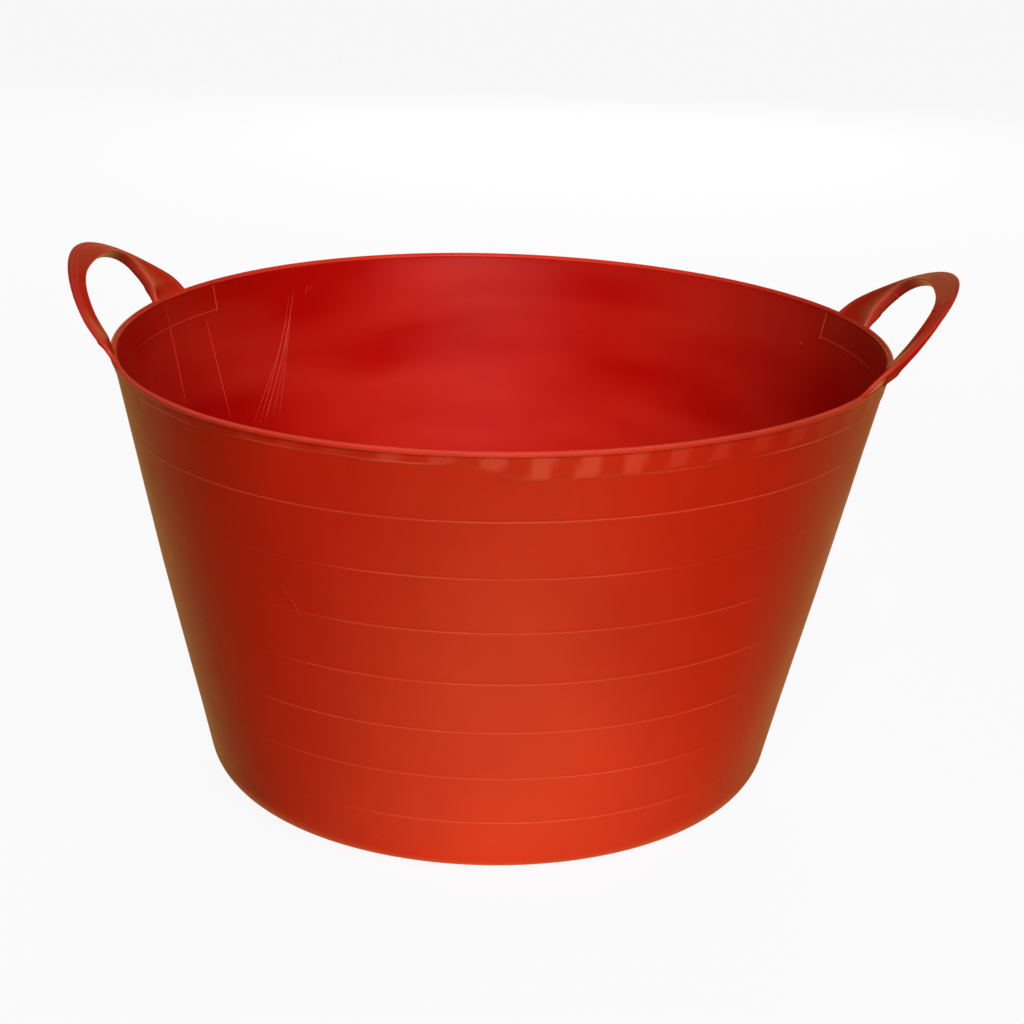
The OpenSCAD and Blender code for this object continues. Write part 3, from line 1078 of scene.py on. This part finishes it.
# ---- stage, light and camera
def light_path_mix(tree, ray, when, otherwise, out):
    """Chooses one of two shaders by the kind of ray."""
    path = node(tree, "ShaderNodeLightPath")
    mix = node(tree, "ShaderNodeMixShader")
    tree.links.new(path.outputs[ray], mix.inputs["Fac"])
    tree.links.new(otherwise, mix.inputs[1])
    tree.links.new(when, mix.inputs[2])
    if out:
        tree.links.new(mix.outputs["Shader"], out)
    return mix.outputs["Shader"]


STAGE_HALF = 9
STAGE_GLOW = 0.93          # how light the floor is to the eye
STAGE_SHADE = 0.045        # and how much shadow it takes
BOUNCE = 2.9               # light off the floor just in front of the tub
FAR_BOUNCE = 0.24          # and off the rest of the floor
BOUNCE_PLACE = (0.065, -0.34, 0)
BOUNCE_REACH = (0.05, 0.39)
BOUNCE_COLOUR = (1.0, 0.88, 0.32, 1)


def make_floor_stage():
    """A pale floor, almost white to the eye. To the tub it is a warm patch of bounced light."""
    material = bpy.data.materials.new("stage_white")
    material.use_nodes = True
    tree = material.node_tree
    tree.nodes.clear()
    link = tree.links.new
    out = node(tree, "ShaderNodeOutputMaterial")
    glow = node(tree, "ShaderNodeEmission", in_0=(1, 1, 1, 1), in_1=STAGE_GLOW)
    shade = node(tree, "ShaderNodeBsdfDiffuse", in_0=(STAGE_SHADE, STAGE_SHADE, STAGE_SHADE, 1))
    pale_floor = node(tree, "ShaderNodeAddShader")
    link(glow.outputs[0], pale_floor.inputs[0])
    link(shade.outputs[0], pale_floor.inputs[1])
    place = node(tree, "ShaderNodeTexCoord")
    away = node(tree, "ShaderNodeVectorMath", operation="SUBTRACT", in_1=BOUNCE_PLACE)
    distance = node(tree, "ShaderNodeVectorMath", operation="LENGTH")
    link(place.outputs["Object"], away.inputs[0])
    link(away.outputs["Vector"], distance.inputs[0])
    bounce = node(tree, "ShaderNodeEmission", in_0=BOUNCE_COLOUR)
    strength = mapped(tree, distance.outputs["Value"], BOUNCE_REACH, (BOUNCE, FAR_BOUNCE), "SMOOTHSTEP")
    link(strength, bounce.inputs["Strength"])
    light_path_mix(tree, "Is Camera Ray", pale_floor.outputs[0], bounce.outputs[0], out.inputs["Surface"])
    corners = [(-STAGE_HALF, -STAGE_HALF, 0), (STAGE_HALF, -STAGE_HALF, 0),
               (STAGE_HALF, STAGE_HALF, 0), (-STAGE_HALF, STAGE_HALF, 0)]
    ground = make_object("stage_floor", corners, [(0, 1, 2, 3)], [material])
    ground.visible_glossy = False


BACKDROP = 0.973           # how light the air behind the tub is to the eye
FILL = 0.03
ROOM = 0.80                # the room that the plastic mirrors
ROOM_COLOUR = (1.0, 0.58, 0.18, 1)
ROOM_BEHIND = ((0.1, 0.95), (0.12 * ROOM, ROOM))   # brightest behind the tub
ROOM_UP = ((-0.05, 0.40), (1.0, 0.12))             # and near the floor


def make_world():
    """White behind the tub, dim for its light, and a warm room for its reflections."""
    world = bpy.data.worlds.new("studio")
    bpy.context.scene.world = world
    world.use_nodes = True
    tree = world.node_tree
    tree.nodes.clear()
    out = node(tree, "ShaderNodeOutputWorld")
    backdrop = node(tree, "ShaderNodeBackground", in_0=(1, 1, 1, 1), in_1=BACKDROP)
    fill = node(tree, "ShaderNodeBackground", in_0=(1.0, 0.98, 0.95, 1), in_1=FILL)
    room = node(tree, "ShaderNodeBackground", in_0=ROOM_COLOUR)
    ways = node(tree, "ShaderNodeTexCoord")
    split = node(tree, "ShaderNodeSeparateXYZ")
    tree.links.new(ways.outputs["Generated"], split.inputs[0])
    level = node(tree, "ShaderNodeMath", operation="MULTIPLY")
    tree.links.new(mapped(tree, split.outputs["Y"], *ROOM_BEHIND, "SMOOTHSTEP"), level.inputs[0])
    tree.links.new(mapped(tree, split.outputs["Z"], *ROOM_UP, "SMOOTHSTEP"), level.inputs[1])
    tree.links.new(level.outputs[0], room.inputs["Strength"])
    shine = light_path_mix(tree, "Is Glossy Ray", room.outputs[0], fill.outputs[0], None)
    light_path_mix(tree, "Is Camera Ray", backdrop.outputs[0], shine, out.inputs["Surface"])


LIGHT_AIM = (0, 0, 0.2)
LIGHT_DISTANCE = 2.7
LIGHT_SIZE = 1.0


def aimed(name, data, place, aim):
    """A lamp at a place, turned to its aim."""
    lamp = bpy.data.objects.new(name, data)
    bpy.context.scene.collection.objects.link(lamp)
    turn = (Vector(aim) - Vector(place)).to_track_quat("-Z", "Y").to_matrix().to_4x4()
    lamp.matrix_world = Matrix.Translation(place) @ turn
    return lamp


def around_tub(elevation, turn):
    """A place seen from the tub's middle at these degrees; turn goes from the front to the right handle."""
    up, aside = math.radians(elevation), math.radians(turn)
    level = LIGHT_DISTANCE * math.cos(up)
    return (level * math.sin(aside), -level * math.cos(aside), LIGHT_AIM[2] + LIGHT_DISTANCE * math.sin(up))


def soft_light(name, elevation, turn, power):
    """A square soft box aimed at the tub."""
    data = bpy.data.lights.new(name, "AREA")
    data.shape = "RECTANGLE"
    data.size = LIGHT_SIZE
    data.size_y = LIGHT_SIZE
    data.energy = power
    return aimed(name, data, around_tub(elevation, turn), LIGHT_AIM)


def spot_light(name, place, aim, cone, power):
    """A round patch of light that fades from its middle."""
    data = bpy.data.lights.new(name, "SPOT")
    data.energy = power
    data.spot_size = math.radians(cone)
    data.spot_blend = 1.0
    data.shadow_soft_size = 0.12
    return aimed(name, data, place, aim)


def make_lights():
    """Soft boxes for the plastic's colour, one spot into the bowl, and a box that only shows as a sheen."""
    lamps = [soft_light("key", 37, 30, 44), soft_light("second", 30, -12, 13),
             spot_light("bowl_spot", around_tub(45, 0), (-0.02, 0.18, 0.18), 13, 360),
             soft_light("back", 14, 180, 30)]
    for lamp in lamps:
        lamp.visible_glossy = False
    sheen = soft_light("sheen", 30, 10, 10)
    sheen.visible_diffuse = False


def make_camera():
    """The camera stands in front, a little towards the right handle, and looks down into the bowl."""
    distance, height = 1.5567, 0.7054
    yaw, pitch, roll = 0.0085, 0.3268, 0.0232
    data = bpy.data.cameras.new("camera")
    data.sensor_width = 36
    data.lens = 87.23
    camera = bpy.data.objects.new("camera", data)
    bpy.context.scene.collection.objects.link(camera)
    level = math.cos(pitch)
    forward = Vector((math.sin(yaw) * level, math.cos(yaw) * level, -math.sin(pitch)))
    right = Vector((math.cos(yaw), -math.sin(yaw), 0))
    up = right.cross(forward)
    turned_right = right * math.cos(roll) + up * math.sin(roll)
    turned_up = up * math.cos(roll) - right * math.sin(roll)
    axes = Matrix((turned_right, turned_up, -forward)).transposed().to_4x4()
    place = Matrix.Translation((0, -distance, height)) @ axes
    camera.matrix_world = Matrix.Rotation(VIEW_TURN, 4, "Z") @ place
    bpy.context.scene.camera = camera


make_floor_stage()
make_world()
make_lights()
make_camera()
bpy.context.scene.view_settings.view_transform = "Standard"
